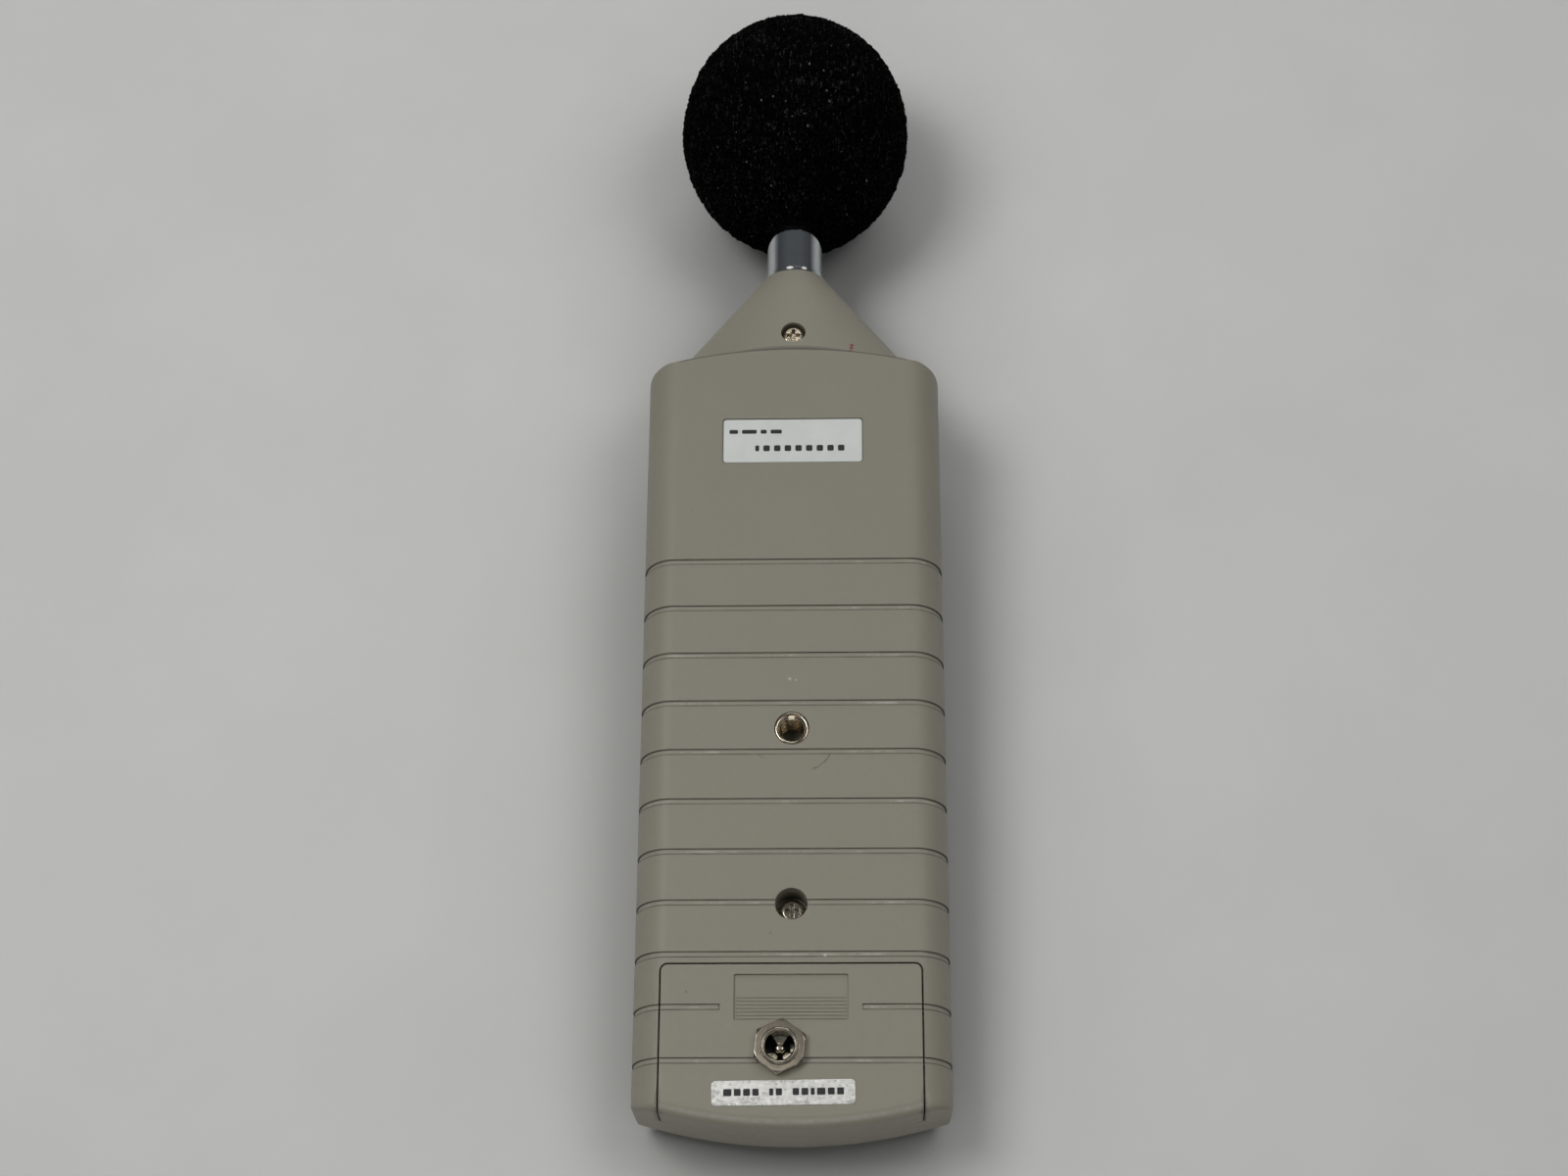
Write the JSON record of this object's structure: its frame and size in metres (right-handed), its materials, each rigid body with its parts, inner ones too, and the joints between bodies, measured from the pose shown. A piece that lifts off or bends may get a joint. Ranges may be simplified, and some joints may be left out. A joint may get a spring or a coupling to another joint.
{
  "type": "sound level meter",
  "caption": "Hand-held sound level meter with a conical nose, half-inch microphone under a foam windscreen, sliding battery cover, rear tripod thread and front slide switches.",
  "frame": {"origin": "centre of the mouth of the tripod thread, in the plane of the rear face", "axes": "+X to the right when looking at the rear face, +Y along the case towards the microphone tip, +Z out of the rear face; the front face is at z = -29 mm"},
  "size_m": [0.068, 0.2794, 0.0556],
  "materials": {
    "case_plastic": "fine-textured warm beige-grey moulding",
    "insert_brass": "nickel-plated brass, knurled",
    "zinc_steel": "bright zinc plate",
    "label_paper": "satin printed label",
    "foil": "crinkled bright foil",
    "nickel": "bright nickel plate",
    "tinned_brass": "tinned",
    "black_plastic": "moulded black",
    "lead_red": "PVC insulation",
    "lead_black": "PVC insulation",
    "grey_foam": "open-cell foam",
    "chrome_tube": "polished chrome plate",
    "white_plastic": "natural nylon",
    "gold_brass": "gold flash",
    "board_green": "solder mask over glass laminate",
    "chip_black": "epoxy moulding compound",
    "cable_black": "flexible jacket",
    "black_foam": "reticulated open-cell foam",
    "clear_window": "clear acrylic",
    "lcd_glass": "grey-green reflective display",
    "zebra_rubber": "striped elastomer",
    "overlay": "printed film, satin black",
    "switch_metal": "tinned frame",
    "knob_plastic": "moulded black, ribbed",
    "button_plastic": "moulded amber",
    "blue_plastic": "moulded blue",
    "capacitor_sleeve": "shrink sleeve",
    "film_red": "dipped epoxy",
    "resistor_tan": "lacquered body"
  },
  "bodies": {
    "meter": {"adjust_pots": "blue_plastic", "battery_leads": "lead_black", "battery_snap": "black_plastic", "bay_foam": "grey_foam", "board_screws": "zinc_steel", "cal_trimmer_body": "blue_plastic", "case_screws": "zinc_steel", "converter_chip": "chip_black", "crystal": "zinc_steel", "display_window": "clear_window", "electrolytic_capacitors": "capacitor_sleeve", "film_capacitors": "film_red", "front_overlay": "overlay", "front_shell": "case_plastic", "hold_switch_body": "black_plastic", "jack_lead_plug": "black_plastic", "jack_leads": "lead_red", "lcd_bezel": "black_plastic", "lcd_panel": "lcd_glass", "main_board": "board_green", "mic_backplate": "gold_brass", "mic_cable": "cable_black", "mic_capsule_body": "chrome_tube", "mic_diaphragm": "nickel", "mic_grid": "chrome_tube", "mic_header": "white_plastic", "mic_insulator": "white_plastic", "mic_tube": "chrome_tube", "opamp_chips": "chip_black", "output_contacts": "tinned_brass", "output_socket": "black_plastic", "preamp_board": "board_green", "preamp_parts": "chip_black", "preamp_shield": "zinc_steel", "range_switch_body": "switch_metal", "rear_shell": "case_plastic", "resistors": "resistor_tan", "response_switch_body": "switch_metal", "serial_label": "label_paper", "supply_header": "white_plastic", "tripod_insert": "insert_brass", "weighting_switch_body": "switch_metal", "zebra_strips": "zebra_rubber"},
    "battery_cover": {"battery_cover": "case_plastic", "dc_jack_bushing": "nickel", "dc_jack_insulator": "black_plastic", "dc_jack_pin": "nickel", "dc_jack_terminals": "tinned_brass", "dc_jack_nut": "nickel", "foil_label": "foil"},
    "windscreen": {"windscreen": "black_foam"},
    "range_switch": {"range_switch_knob": "knob_plastic", "range_switch_contact": "tinned_brass"},
    "weighting_switch": {"weighting_switch_knob": "knob_plastic", "weighting_switch_contact": "tinned_brass"},
    "response_switch": {"response_switch_knob": "knob_plastic", "response_switch_contact": "tinned_brass"},
    "hold_button": {"hold_button": "button_plastic", "hold_switch_plunger": "black_plastic"},
    "cal_trimmer": {"cal_trimmer_rotor": "white_plastic"}
  },
  "joints": [
    {"name": "cover_slide", "type": "slide", "parent": "meter", "child": "battery_cover", "axis": [0, -1, 0], "range_m": [0, 0.045]},
    {"name": "windscreen_slide", "type": "slide", "parent": "meter", "child": "windscreen", "axis": [0, 1, 0], "range_m": [0, 0.06]},
    {"name": "range_slide", "type": "slide", "parent": "meter", "child": "range_switch", "axis": [1, 0, 0], "range_m": [0, 0.0075]},
    {"name": "weighting_slide", "type": "slide", "parent": "meter", "child": "weighting_switch", "axis": [1, 0, 0], "range_m": [0, 0.0025]},
    {"name": "response_slide", "type": "slide", "parent": "meter", "child": "response_switch", "axis": [1, 0, 0], "range_m": [0, 0.0025]},
    {"name": "hold_press", "type": "slide", "parent": "meter", "child": "hold_button", "axis": [0, 0, 1], "range_m": [0, 0.0005], "stiffness_N_per_m": 400},
    {"name": "trimmer_turn", "type": "hinge", "parent": "meter", "child": "cal_trimmer", "pos_m": [0.015, 0.032, -0.023], "axis": [0, 0, 1], "range_deg": [-130, 130]}
  ]
}
